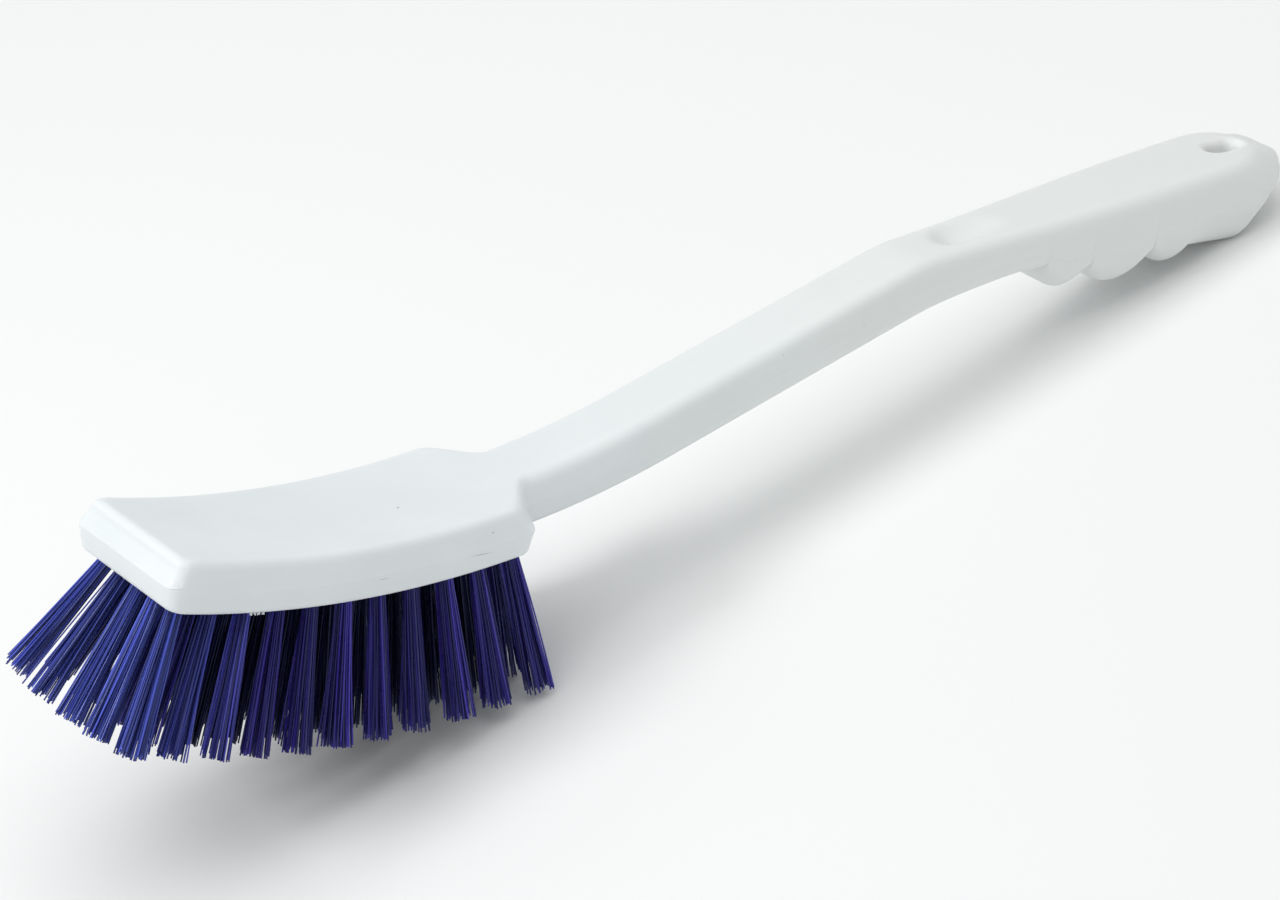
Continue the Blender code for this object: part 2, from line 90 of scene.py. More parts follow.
# %% From the moulder's frame to the table
REST_PITCH = math.radians(21.817)
REST_SHIFT = Vector((-185.899, -0.112, 97.232)) * MM
to_table = Matrix.Translation(REST_SHIFT) @ Matrix.Rotation(REST_PITCH, 4, "Y")
print("pitch at rest:", round(math.degrees(REST_PITCH), 1), "degrees")


# %% Helpers for sums and for selecting
def blend(first, last, share):
    return first + (last - first) * share


def spread(first, last, steps):
    return [blend(first, last, step / steps) for step in range(steps + 1)]


def ease(share):
    """Zero, then a smooth rise, then one."""
    share = min(max(share, 0.0), 1.0)
    return (1.0 - math.cos(math.pi * share)) / 2


def start_fresh():
    """Leave edit mode and deselect everything, so that an operator meets only what is new."""
    if bpy.context.object and bpy.context.object.mode != "OBJECT":
        bpy.ops.object.mode_set(mode="OBJECT")
    bpy.ops.object.select_all(action="DESELECT")


def pick(piece):
    """Make one piece the selected and active one."""
    start_fresh()
    piece.select_set(True)
    bpy.context.view_layer.objects.active = piece


def join_pieces(pieces):
    """Join pieces into the first one."""
    pick(pieces[0])
    for piece in pieces:
        piece.select_set(True)
    bpy.ops.object.join()
    return pieces[0]


def copy_piece(piece):
    """A copy in the scene, with its own mesh."""
    copy = piece.copy()
    copy.data = piece.data.copy()
    bpy.context.scene.collection.objects.link(copy)
    return copy


print("half way through an ease:", ease(0.5))

# %% [markdown]
# ## The side profile
# A moulding like this is drawn from the side first. The block is bent like a rocker: its
# underside and its top are two arcs round one centre above it, so the wall between them keeps
# its thickness. The handle leaves the block at a bend, climbs as a straight shaft and eases
# into the flatter grip at a knee. A curve could be drawn for each line. One function was
# chosen, because it gives the height of any line that runs along the body, and the top face,
# the parting line and the underside then stay in step.

# %% Sizes of the block and the handle
HALF_WIDTH, TOP_HEIGHT, BOTTOM_DEPTH = 29.0 * MM, 8.5 * MM, 7.6 * MM
ARC_RADIUS, ARC_MIDDLE, ARC_END = 308.0 * MM, 62.0 * MM, 112.0 * MM
SHOULDER_START, NECK = 119.0 * MM, 127.5 * MM
SHAFT_PITCH, GRIP_PITCH = math.radians(20.6), math.radians(9.4)
TOP_BEND, TOP_BEND_HALF = 144.4 * MM, 28.0 * MM
BOTTOM_BEND, BOTTOM_BEND_HALF = 150.5 * MM, 29.0 * MM
KNEE_TOP, KNEE_TOP_HALF = 265.5 * MM, 5.0 * MM
KNEE_BOTTOM, KNEE_BOTTOM_HALF = 276.7 * MM, 13.0 * MM
REACH = 408.8 * MM


def arc_height(x, above):
    """Height of the arc that lies this far above the parting line."""
    centre = math.sqrt(ARC_RADIUS ** 2 - ARC_MIDDLE ** 2)
    return centre - math.sqrt((ARC_RADIUS - above) ** 2 - (x - ARC_MIDDLE) ** 2)


def arc_slope(x, above):
    along = x - ARC_MIDDLE
    return along / math.sqrt((ARC_RADIUS - above) ** 2 - along ** 2)


def bend(distance, half_length):
    """Zero before a bend, the distance after it, and a smooth curve between."""
    if abs(distance) < half_length:
        return (distance + half_length) ** 2 / (4 * half_length)
    return max(distance, 0.0)


def body_height(x, above):
    """Height, at x, of a line that runs this far above the parting line."""
    if x <= ARC_END:
        return arc_height(x, above)
    upper = (above + BOTTOM_DEPTH) / (TOP_HEIGHT + BOTTOM_DEPTH)
    start_slope = arc_slope(ARC_END, above)
    shaft_slope, grip_slope = math.tan(SHAFT_PITCH), math.tan(GRIP_PITCH)
    height = arc_height(ARC_END, above) + start_slope * (x - ARC_END)
    height += (shaft_slope - start_slope) * bend(
        x - blend(BOTTOM_BEND, TOP_BEND, upper), blend(BOTTOM_BEND_HALF, TOP_BEND_HALF, upper))
    height += (grip_slope - shaft_slope) * bend(
        x - blend(KNEE_BOTTOM, KNEE_TOP, upper), blend(KNEE_BOTTOM_HALF, KNEE_TOP_HALF, upper))
    return height


print("the block sags", round(-arc_height(ARC_MIDDLE, 0.0) / MM, 1), "mm at its middle")

# %% [markdown]
# ## The finger grip
# Three lobes and a long heel hang below the grip, with a furrow before each where a finger
# rests. They could be cut out of a plain grip. Here the underside's depth is a function, so
# that every section follows it and the skin stays one even net. Each lobe is a bulge on a
# straight line between two furrows, and the heel slants up to the rounded end.

# %% Lobes, slant and rounded end
FINGER_START, FINGER_DEPTH = 312.8 * MM, 12.6 * MM
furrow_place_shares = (0.0, 0.168, 0.410, 0.561, 1.0)
furrow_depth_shares = (0.0, 0.11, 0.20, 0.60, 0.90)
lobe_depth_shares = (0.713, 0.989, 0.924, 0.970)
lobe_fullness, end_nose_share = 0.65, 0.02
SLANT_START, SLANT_HALF, SLANT_PITCH = REACH - 19.6 * MM, 2.0 * MM, math.radians(50.3)
TOP_DROP_LENGTH, NOSE_LENGTH, nose_fullness = 21.0 * MM, 2.0 * MM, 0.72
FINGER_WIDTH, EVEN_STEPS = 22.0 * MM, 10


def finger_place(share):
    return blend(FINGER_START, REACH, share)


def finger_depth(x):
    """How far the lobes hang below the plain underside."""
    share = (x - FINGER_START) / (REACH - FINGER_START)
    if share <= 0.0:
        return 0.0
    lobe = 0
    while lobe < len(lobe_depth_shares) - 1 and share > furrow_place_shares[lobe + 1]:
        lobe += 1
    start, end = furrow_place_shares[lobe:lobe + 2]
    first, last = furrow_depth_shares[lobe:lobe + 2]
    along = min((share - start) / (end - start), 1.0)
    bulge = max(1.0 - (2 * along - 1) ** 2, 0.0) ** lobe_fullness
    rise = lobe_depth_shares[lobe] - (first + last) / 2
    return FINGER_DEPTH * (blend(first, last, along) + rise * bulge)


def lobe_over_even(x):
    """How far a lobe hangs below the depth evened out over a finger's width."""
    x = min(x, SLANT_START)
    half = FINGER_WIDTH / 2
    near = [finger_depth(x + step) for step in spread(-half, half, EVEN_STEPS)]
    return finger_depth(x) - sum(near) / len(near)


def slanted_height(x):
    """The underside, with the slant that rises to the handle's end."""
    plain = min(x, SLANT_START)
    slant = math.tan(SLANT_PITCH) * bend(x - SLANT_START, SLANT_HALF)
    return body_height(plain, -BOTTOM_DEPTH) - finger_depth(plain) + slant


def rounded_away(x, length):
    """Share of a quarter round that has been turned, this long before the end."""
    along = min(max((x - REACH + length) / length, 0.0), 1.0)
    return 1.0 - (1.0 - along ** 2) ** nose_fullness


NOSE_HEIGHT = blend(slanted_height(REACH), body_height(REACH, TOP_HEIGHT), end_nose_share)


def top_height(x):
    return blend(body_height(x, TOP_HEIGHT), NOSE_HEIGHT, rounded_away(x, TOP_DROP_LENGTH))


def bottom_height(x):
    return blend(slanted_height(x), NOSE_HEIGHT, rounded_away(x, NOSE_LENGTH))


print("handle's end at height", round(NOSE_HEIGHT / MM, 1), "mm over the block's front")

# %% [markdown]
# ## Cross sections
# A section is half an outline, from the bottom face's edge up to the top face's edge.
# The two mould halves meet at the widest line, so each half tapers away from it by its draft,
# and a hair of flash stands along it. A bevel could round the edges, but their radii change all
# along the body, so each section brings its own, in many short steps.

# %% Half a section of the moulding
EDGE_STEPS, LOWER_WALL_STEPS, UPPER_WALL_STEPS = 8, 6, 4
FLASH_HALF_HEIGHT, FLASH_STAND = 0.22 * MM, 0.07 * MM
flash_limit_share = 0.125


def half_section(above, below, top_draft, bottom_draft, top_radius, bottom_radius,
                 bottom_rise=None, flash=1.0):
    """Points as (how far in from the parting line, how high above it)."""
    quarter = spread(0.0, math.pi / 2, EDGE_STEPS)
    bottom_rise = bottom_rise or bottom_radius
    points = [(bottom_draft + bottom_radius * (1 - math.sin(angle)),
               bottom_rise * (1 - math.cos(angle)) - below) for angle in quarter]
    for share in spread(0.0, 1.0, LOWER_WALL_STEPS)[1:-1]:
        points.append((bottom_draft * (1 - share), (bottom_rise - below) * (1 - share)))
    flash_half = min(FLASH_HALF_HEIGHT, below * flash_limit_share)
    points += [(0.0, -flash_half), (-FLASH_STAND * flash, 0.0), (0.0, flash_half)]
    for share in spread(0.0, 1.0, UPPER_WALL_STEPS)[1:-1]:
        points.append((top_draft * share, (above - top_radius) * share))
    points += [(top_draft + top_radius * (1 - math.cos(angle)),
                above - top_radius * (1 - math.sin(angle))) for angle in quarter]
    return points


LEVELS = len(half_section(1.0, 1.0, 0.0, 0.0, 0.1, 0.1))
print("levels in half a section:", LEVELS)

# %% [markdown]
# ## Stations along the block
# The block is a long bar with rounded front corners and shoulders at the rear. It could be a
# box with bevelled edges, but its walls lean by different drafts in front, beside and behind.
# So it is given as stations, each a column of points up the far side. At the front they turn
# round the corner, along the side they march back, and at the shoulder they swing in to the
# neck. Every level has its own corner, because the drafts shift each level a little.

# %% The block's stations
CORNER_RADIUS, SIDE_DRAFT = 4.0 * MM, 1.1 * MM
FRONT_TOP_DRAFT, REAR_TOP_DRAFT, END_BOTTOM_DRAFT = 3.4 * MM, 4.5 * MM, 0.8 * MM
TOP_EDGE, BOTTOM_EDGE, SHAFT_EDGE, SHAFT_DRAFT = 3.0 * MM, 2.2 * MM, 4.2 * MM, 0.5 * MM
NECK_HALF_WIDTH = 13.7 * MM
CORNER_STEPS, SIDE_STEPS, SHOULDER_STEPS = 8, 40, 18


def block_section(draft_above, draft_below):
    return half_section(TOP_HEIGHT, BOTTOM_DEPTH, draft_above, draft_below, TOP_EDGE, BOTTOM_EDGE)


def block_stations():
    """Columns of points up the block's far side, from its front end to the neck."""
    front = block_section(FRONT_TOP_DRAFT, END_BOTTOM_DRAFT)
    side = block_section(SIDE_DRAFT, SIDE_DRAFT)
    rear = block_section(REAR_TOP_DRAFT, END_BOTTOM_DRAFT)
    neck = half_section(TOP_HEIGHT, BOTTOM_DEPTH, SHAFT_DRAFT, SHAFT_DRAFT, SHAFT_EDGE, SHAFT_EDGE)
    columns = [[] for _ in range(CORNER_STEPS + 1 + SIDE_STEPS + SHOULDER_STEPS)]
    for (front_x, _), (inset, height), (rear_inset, _), (neck_inset, neck_height) in zip(
            front, side, rear, neck):
        y = HALF_WIDTH - inset
        shoulder_x = SHOULDER_START - rear_inset
        path = []
        for angle in spread(0.0, math.pi / 2, CORNER_STEPS):
            path.append((front_x + CORNER_RADIUS * (1 - math.cos(angle)),
                         y - CORNER_RADIUS * (1 - math.sin(angle)), height))
        path += [(x, y, height)
                 for x in spread(front_x + CORNER_RADIUS, shoulder_x, SIDE_STEPS)[1:]]
        for share in spread(0.0, 1.0, SHOULDER_STEPS)[1:]:
            path.append((blend(shoulder_x, NECK, share),
                         blend(y, NECK_HALF_WIDTH - neck_inset, ease(share)),
                         blend(height, neck_height, share)))
        for column, (x, across, up) in zip(columns, path):
            column.append(Vector((x, across, body_height(x, up))))
    return columns


print("stations on the block:", len(block_stations()))

# %% [markdown]
# ## Stations along the handle
# The shaft is slim and evenly rounded. The grip widens, its lower edges turn fuller, and each
# finger has a hollow that starts at the furrow and runs up the side face, where it ends in a
# soft crescent. Sculpting could give the same look, but not the same twice. The stations stand
# closer together on the lobes, and closest round the end, where the shape turns fastest.

# %% The handle's stations
WAIST_HALF_WIDTH, GRIP_HALF_WIDTH, WIDENING = 12.8 * MM, 18.0 * MM, 105.0 * MM
GRIP_TOP_EDGE, GRIP_BOTTOM_EDGE, GRIP_END_EDGE = 4.8 * MM, 8.0 * MM, 15.0 * MM
END_ROUNDING, LEAST_RISE = 26.0 * MM, 2.5 * MM
plain_part_share, end_part_share = TOP_HEIGHT / (TOP_HEIGHT + BOTTOM_DEPTH), 0.76
edge_limit_share, draft_limit_share, hollow_limit_share, grip_flash_share = 0.90, 0.25, 0.25, 0.15
SHAFT_STEPS, KNEE_STEPS, LOBE_STEPS, NOSE_STEPS = 44, 26, 22, 20
# Each hollow: its start and end along the grip, its depth, and how far up the side it runs
hollow_shares = ((0.162, 0.36, 0.07, 0.55), (0.403, 0.59, 0.10, 0.66), (0.553, 0.97, 0.17, 0.84))
hollow_skew, hollow_lean_share = 0.62, 0.05


def gripping(x):
    """Zero on the shaft, one on the grip, and eased between."""
    return ease((x - KNEE_TOP) / WIDENING)


def handle_half_width(x):
    slimming = min((x - NECK) / (KNEE_TOP - NECK), 1.0)
    return blend(blend(NECK_HALF_WIDTH, WAIST_HALF_WIDTH, slimming), GRIP_HALF_WIDTH, gripping(x))


def side_hollow(x, up_share):
    """How deep the finger hollows sink the side face, at this share of the height.

    Each has a steep front wall that leans back as it rises, and a long easy slope behind it.
    """
    along = (x - FINGER_START) / (REACH - FINGER_START)
    depth = 0.0
    for start, end, depth_share, reach_share in hollow_shares:
        up = min(up_share / reach_share, 1.0)
        front = start + hollow_lean_share * up ** 2
        share = min(max((along - front) / (end - front), 0.0), 1.0)
        dip = math.sin(math.pi * share ** hollow_skew) ** 2
        depth = max(depth, FINGER_DEPTH * depth_share * dip * ease(1.0 - up))
    return depth


def handle_station(x, half_width):
    top, bottom = top_height(x), bottom_height(x)
    ending = ease(1.0 - (REACH - x) / END_ROUNDING)
    top_radius = blend(blend(SHAFT_EDGE, GRIP_TOP_EDGE, gripping(x)), GRIP_END_EDGE, ending)
    fingering = ease((x - KNEE_BOTTOM) / (FINGER_START - KNEE_BOTTOM))
    bottom_radius = blend(SHAFT_EDGE, GRIP_BOTTOM_EDGE, fingering)
    above = (top - bottom) * blend(plain_part_share, end_part_share, ending)
    below = (top - bottom) - above
    draft = min(SHAFT_DRAFT, half_width * draft_limit_share)
    room = (half_width - draft) * edge_limit_share
    rise = max(bottom_radius + lobe_over_even(x), LEAST_RISE)
    points = half_section(above, below, draft, draft,
                          min(top_radius, room, above * edge_limit_share),
                          min(bottom_radius, room), min(rise, below * edge_limit_share),
                          flash=max(1.0 - 2 * gripping(x), grip_flash_share))
    column = []
    for inset, height in points:
        up_share = (height + below) / (above + below)
        inset += min(side_hollow(x, up_share), half_width * hollow_limit_share)
        column.append(Vector((x, half_width - inset, bottom + below + height)))
    return column


def handle_stations():
    places = spread(NECK, KNEE_TOP - KNEE_TOP_HALF, SHAFT_STEPS)[1:]
    places += spread(KNEE_TOP - KNEE_TOP_HALF, FINGER_START, KNEE_STEPS)[1:]
    for start, end in zip(furrow_place_shares, furrow_place_shares[1:]):
        steps = LOBE_STEPS if end < 1.0 else 2 * LOBE_STEPS
        places += [finger_place(blend(start, end, ease(share)))
                   for share in spread(0.0, 1.0, steps)[1:]]
    last = REACH - GRIP_HALF_WIDTH
    stations = [handle_station(x, handle_half_width(x)) for x in places if x < last]
    for angle in spread(0.0, math.pi / 2, NOSE_STEPS)[:-1]:
        x = REACH - GRIP_HALF_WIDTH * (1 - math.sin(angle))
        stations.append(handle_station(x, GRIP_HALF_WIDTH * math.cos(angle)))
    return stations


print("stations on the handle:", len(handle_stations()))

# %% [markdown]
# ## Extruding the body
# The moulding is one piece, with no seam between block and handle. It could be joined from
# several shapes, but then the joints would show. So its front face is a grid, whose border is
# extruded back once for every station and laid on that station's section, and the skin comes
# out as one closed net of quads. The thumb's dimple is pressed into the top of the grip by
# moving the vertices under it, which keeps its rim as soft as on the moulding.

# %% The border of a station
ACROSS = 14


def border_points(column):
    """A whole section as a closed line: bottom, far side, top, near side."""
    near = [Vector((point.x, -point.y, point.z)) for point in column]
    line = [near[0].lerp(column[0], share) for share in spread(0.0, 1.0, ACROSS)[:-1]]
    line += column
    line += [column[-1].lerp(near[-1], share) for share in spread(0.0, 1.0, ACROSS)[1:-1]]
    return line + near[::-1][:-1]


print("points round a station:", len(border_points([Vector()] * LEVELS)))

# %% The thumb's dimple
DIMPLE_PLACE, DIMPLE_FRONT, DIMPLE_REAR = 286.0 * MM, 8.5 * MM, 17.5 * MM
DIMPLE_HALF_WIDTH, DIMPLE_DEPTH, dimple_softness = 8.6 * MM, 3.1 * MM, 1.3


def press_dimple(point):
    """Sink a point of the top face that lies inside the dimple, which is steeper in front."""
    along = point.x - DIMPLE_PLACE
    reach = math.hypot(along / (DIMPLE_REAR if along > 0.0 else DIMPLE_FRONT),
                       point.y / DIMPLE_HALF_WIDTH)
    if reach >= 1.0 or point.z < body_height(point.x, 0.0):
        return point
    return point - Vector((0.0, 0.0, DIMPLE_DEPTH * (1 - reach ** 2) ** dimple_softness))


print("dimple in mm:", round((DIMPLE_FRONT + DIMPLE_REAR) / MM), "by",
      round(2 * DIMPLE_HALF_WIDTH / MM))

# %% Front face, then station after station
def extrude_body():
    stations = block_stations() + handle_stations()
    start_fresh()
    bpy.ops.mesh.primitive_grid_add(x_subdivisions=ACROSS, y_subdivisions=LEVELS - 1, size=1.0)
    body = bpy.context.object
    body.name = "brush_body"
    bpy.ops.object.mode_set(mode="EDIT")
    bm = bmesh.from_edit_mesh(body.data)
    bm.verts.ensure_lookup_table()
    front = stations[0]
    for index, vert in enumerate(bm.verts):
        level, place = divmod(index, ACROSS + 1)
        far = front[level]
        vert.co = (far.x, blend(-far.y, far.y, place / ACROSS), far.z)
    rim = border_points(front)
    border = []
    for point in rim:
        border.append(min((vert for vert in bm.verts if vert.is_boundary),
                          key=lambda vert: (vert.co - point).length))
    for column in stations[1:]:
        bpy.ops.mesh.select_all(action="DESELECT")
        bm = bmesh.from_edit_mesh(body.data)
        for vert in border:
            vert.select = True
        for vert, after in zip(border, border[1:] + border[:1]):
            bm.edges.get((vert, after)).select = True
        bpy.ops.mesh.extrude_edges_move()
        bm = bmesh.from_edit_mesh(body.data)
        fresh = []
        for vert, point in zip(border, border_points(column)):
            new = next(edge.other_vert(vert) for edge in vert.link_edges
                       if edge.other_vert(vert).select)
            new.co = press_dimple(point)
            fresh.append(new)
        border = fresh
    bpy.ops.mesh.edge_face_add()
    bpy.ops.mesh.select_all(action="SELECT")
    bpy.ops.mesh.normals_make_consistent(inside=False)
    bpy.ops.object.mode_set(mode="OBJECT")
    return body


body = extrude_body()
print("body:", len(body.data.vertices), "vertices before the holes")

# %% [markdown]
# ## Drilling and slotting the body
# The tuft holes are drilled at the lean of each tuft, in a grid of eleven by five, and the
# hanging hole is a slot whose rims are rounded. The net could be laid round each hole, but a
# Boolean is how the works does it too: one drill is copied to every place, and a slot punch
# flares where it meets the top face and the underside.

# %% Where each tuft stands
COLUMNS, ROWS = 11, 5
FIRST_COLUMN, LAST_COLUMN, OUTER_ROW = 7.0 * MM, 117.2 * MM, 19.5 * MM
HOLE_RADIUS, HOLE_DEPTH, OVERRUN = 2.75 * MM, 9.5 * MM, 4.0 * MM
FRONT_LEAN, REAR_LEAN = math.radians(29.8), math.radians(11.4)
FRONT_OUTWARD_LEAN, REAR_OUTWARD_LEAN = math.radians(21.5), math.radians(10.8)
DRILL_SIDES = 20


def tuft_place(column, row):
    """Matrix that takes a tuft, drawn along +Z from its mouth, to its place on the underside."""
    along = column / (COLUMNS - 1)
    across = 2 * row / (ROWS - 1) - 1
    x = blend(FIRST_COLUMN, LAST_COLUMN, along)
    mouth = Vector((x, OUTER_ROW * across, arc_height(x, -BOTTOM_DEPTH)))
    forward = blend(-FRONT_LEAN, REAR_LEAN, along)
    outward = blend(FRONT_OUTWARD_LEAN, REAR_OUTWARD_LEAN, along) * across
    axis = Vector((math.tan(forward), math.tan(outward), -1.0)).normalized()
    side = Vector((0.0, 1.0, 0.0)).cross(axis).normalized()
    turn = Matrix((side, axis.cross(side), axis)).transposed().to_4x4()
    return Matrix.Translation(mouth) @ turn


def all_places():
    return [(column, row) for row in range(ROWS) for column in range(COLUMNS)]


print("holes:", len(all_places()))

# %% The drill, copied to every hole
def cut_away(target, tool):
    """Subtract a tool from the target, then throw the tool away."""
    pick(target)
    cut = target.modifiers.new("cut", "BOOLEAN")
    cut.object = tool
    cut.solver = "EXACT"
    bpy.ops.object.modifier_apply(modifier=cut.name)
    bpy.data.objects.remove(tool)


def drill_holes(target):
    start_fresh()
    bpy.ops.mesh.primitive_cylinder_add(vertices=DRILL_SIDES, radius=HOLE_RADIUS,
                                        depth=HOLE_DEPTH + OVERRUN,
                                        location=(0.0, 0.0, (OVERRUN - HOLE_DEPTH) / 2))
    drill = bpy.context.object
    bpy.ops.object.transform_apply()
    drills = [copy_piece(drill) for _ in all_places()]
    bpy.data.objects.remove(drill)
    for copy, (column, row) in zip(drills, all_places()):
        copy.data.transform(tuft_place(column, row))
    cut_away(target, join_pieces(drills))


drill_holes(body)
print("body:", len(body.data.polygons), "faces with the tuft holes")

# %% The slot punch, flared at both faces
SLOT_FROM_END, SLOT_LENGTH, SLOT_WIDTH, SLOT_RIM = 18.8 * MM, 12.0 * MM, 7.8 * MM, 2.8 * MM
SLOT_ARC_STEPS, RIM_STEPS, RIM_LIFT = 16, 8, 0.04 * MM


def slot_line(flare):
    """Slot outline with half-round ends, this much larger than the slot itself."""
    radius = SLOT_WIDTH / 2 + flare
    shift = (SLOT_LENGTH - SLOT_WIDTH) / 2
    return [(side * (shift + radius * math.cos(angle)), side * radius * math.sin(angle))
            for side in (1, -1)
            for angle in spread(-math.pi / 2, math.pi / 2, SLOT_ARC_STEPS)]


def punch_slot(target):
    place_x = REACH - SLOT_FROM_END
    place = Vector((place_x, 0.0, body_height(place_x, TOP_HEIGHT)))
    lie = Matrix.Translation(place) @ Matrix.Rotation(-GRIP_PITCH, 4, "Y")
    rim = [(SLOT_RIM * (1 - math.sin(angle)), SLOT_RIM * (1 - math.cos(angle)) - RIM_LIFT)
           for angle in spread(0.0, math.pi / 2, RIM_STEPS)]
    levels = [("top", SLOT_RIM, -OVERRUN)] + [("top", *step) for step in rim]
    levels += [("bottom", *step) for step in rim[::-1]] + [("bottom", SLOT_RIM, -OVERRUN)]
    start_fresh()
    count = 2 * (SLOT_ARC_STEPS + 1)
    bpy.ops.mesh.primitive_circle_add(vertices=count, radius=SLOT_LENGTH / 2, fill_type="NGON")
    punch = bpy.context.object
    bpy.ops.object.mode_set(mode="EDIT")
    bpy.ops.mesh.select_all(action="SELECT")
    for step, (face, flare, sink) in enumerate(levels):
        if step:
            bpy.ops.mesh.extrude_region_move()
        bm = bmesh.from_edit_mesh(punch.data)
        ring = [vert for vert in bm.verts if vert.select]
        for vert, (along, across) in zip(ring, slot_line(flare)):
            point = lie @ Vector((along, across, 0.0))
            point.z = top_height(point.x) - sink if face == "top" else bottom_height(point.x) + sink
            vert.co = point
    bpy.ops.mesh.select_all(action="SELECT")
    bpy.ops.mesh.normals_make_consistent(inside=False)
    bpy.ops.object.mode_set(mode="OBJECT")
    cut_away(target, punch)


punch_slot(body)
print("body:", len(body.data.polygons), "faces with the hanging hole")

# %% [markdown]
# ## Finishing a mesh
# Every finished mesh is turned from the moulder's frame to the table in its vertices, smoothed
# where its faces meet at a small angle, and rides on the brush's one body. The objects could be
# turned instead, but a pattern that follows Object coordinates would then turn with them. The
# finer moulding takes the place of the plain one, which stays hidden for the physics.

# %% From the bench to the table
SMOOTH_ANGLE = math.radians(40.0)


def coat(piece, finish):
    piece.data.materials.clear()
    piece.data.materials.append(finish)


def finish_piece(piece, node=None):
    """Turn a piece on to the table, keep it in the CAD model's room and let it ride."""
    piece.data.transform(to_table)
    for vert in piece.data.vertices:
        for axis in range(3):
            vert.co[axis] = min(max(vert.co[axis], cad_low[axis]), cad_high[axis])
    pick(piece)
    bpy.ops.object.shade_smooth_by_angle(angle=SMOOTH_ANGLE)
    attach(piece, "root")
    if node:
        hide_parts(node)
    return piece


finish_piece(body, "moulded_body")
print("body box in mm:", [round(side / MM, 1) for side in body.dimensions])

# %% [markdown]
# ## One filament
# A filament is a stiff round bristle, half a millimetre thick, cut square at its tip.
# It could be a strand of hair, but the export takes only meshes. So one is modelled from a
# small circle that is extruded along its length, with a ring at the mouth of the hole and a
# few more on the free length, where it may bend. Five sides are enough, because there are
# thousands and each is only a pixel or two wide.

# %% The filament that all the others are copied from
FILAMENT_RADIUS, FILAMENT_SIDES, ROOT_GAP = 0.25 * MM, 5, 1.0 * MM
TUFT_LENGTH = 44.0 * MM
free_shares = (0.0, 0.12, 0.3, 0.5, 0.75, 1.0)


def model_filament():
    start_fresh()
    height = ROOT_GAP - HOLE_DEPTH
    bpy.ops.mesh.primitive_circle_add(vertices=FILAMENT_SIDES, radius=FILAMENT_RADIUS,
                                      fill_type="NGON", location=(0.0, 0.0, height))
    filament = bpy.context.object
    bpy.ops.object.transform_apply()
    bpy.ops.object.mode_set(mode="EDIT")
    bpy.ops.mesh.select_all(action="SELECT")
    for share in free_shares:
        rise = TUFT_LENGTH * share - height
        bpy.ops.mesh.extrude_region_move(TRANSFORM_OT_translate={"value": (0.0, 0.0, rise)})
        height += rise
    bpy.ops.mesh.select_all(action="SELECT")
    bpy.ops.mesh.normals_make_consistent(inside=False)
    bpy.ops.object.mode_set(mode="OBJECT")
    return filament


filament = model_filament()
print("one filament:", len(filament.data.polygons), "faces")

# %% [markdown]
# ## A tuft
# Some thirty filaments are folded over a flat steel anchor and rammed into the hole, so about
# sixty ends come out of it. They leave the mouth packed tight, spread like a fan and gather in
# clumps at their tips. Their lengths differ by a millimetre or two, each bows aside a little,
# and each has its own shade of blue, kept in an attribute that the material reads. Every
# tuft could be drawn afresh. A few patterns are enough, because each tuft is a copy of one,
# turned and spread a little differently, so that no two look the same.

# %% Where the filaments stand in the mouth
FILAMENTS = 62
ROOT_RING, TIP_RING = 2.36 * MM, 4.9 * MM
GOLDEN_ANGLE = math.pi * (3 - math.sqrt(5))
LONGEST_OVER, SHORTEST_UNDER = 0.72 * MM, 1.92 * MM
TIP_JITTER, ROOT_JITTER, BOW = 0.28 * MM, 0.04 * MM, 0.2 * MM
CLUMPS, clump_pull_share = 9, 0.42
stray_share, stray_reach_share = 0.06, 1.3


def fan_places(draw):
    """Root, tip and length of every filament, with the tips drawn together in clumps."""
    places = []
    turn = draw.uniform(0.0, math.tau)
    clumps = [Vector((math.cos(turn + clump * GOLDEN_ANGLE), math.sin(turn + clump * GOLDEN_ANGLE)))
              * math.sqrt((clump + 0.5) / CLUMPS) for clump in range(CLUMPS)]
    for index in range(FILAMENTS):
        ring = math.sqrt((index + 0.5) / FILAMENTS)
        angle = index * GOLDEN_ANGLE
        root = Vector((math.cos(angle), math.sin(angle))) * ring
        nearest = min(clumps, key=lambda clump: (clump - root).length)
        tip = root.lerp(nearest, clump_pull_share) * TIP_RING
        tip += Vector((draw.gauss(0.0, TIP_JITTER), draw.gauss(0.0, TIP_JITTER)))
        if draw.random() < stray_share:
            tip *= stray_reach_share
        root = root * ROOT_RING
        root += Vector((draw.gauss(0.0, ROOT_JITTER), draw.gauss(0.0, ROOT_JITTER)))
        length = TUFT_LENGTH + blend(LONGEST_OVER, -SHORTEST_UNDER, draw.random() ** 2)
        places.append((root, tip, length))
    return places


print("ends in a tuft:", FILAMENTS)

# %% Copy the filament and join the copies
PATTERNS, FIRST_PATTERN_SEED, fan_curve = 6, 40, 1.08


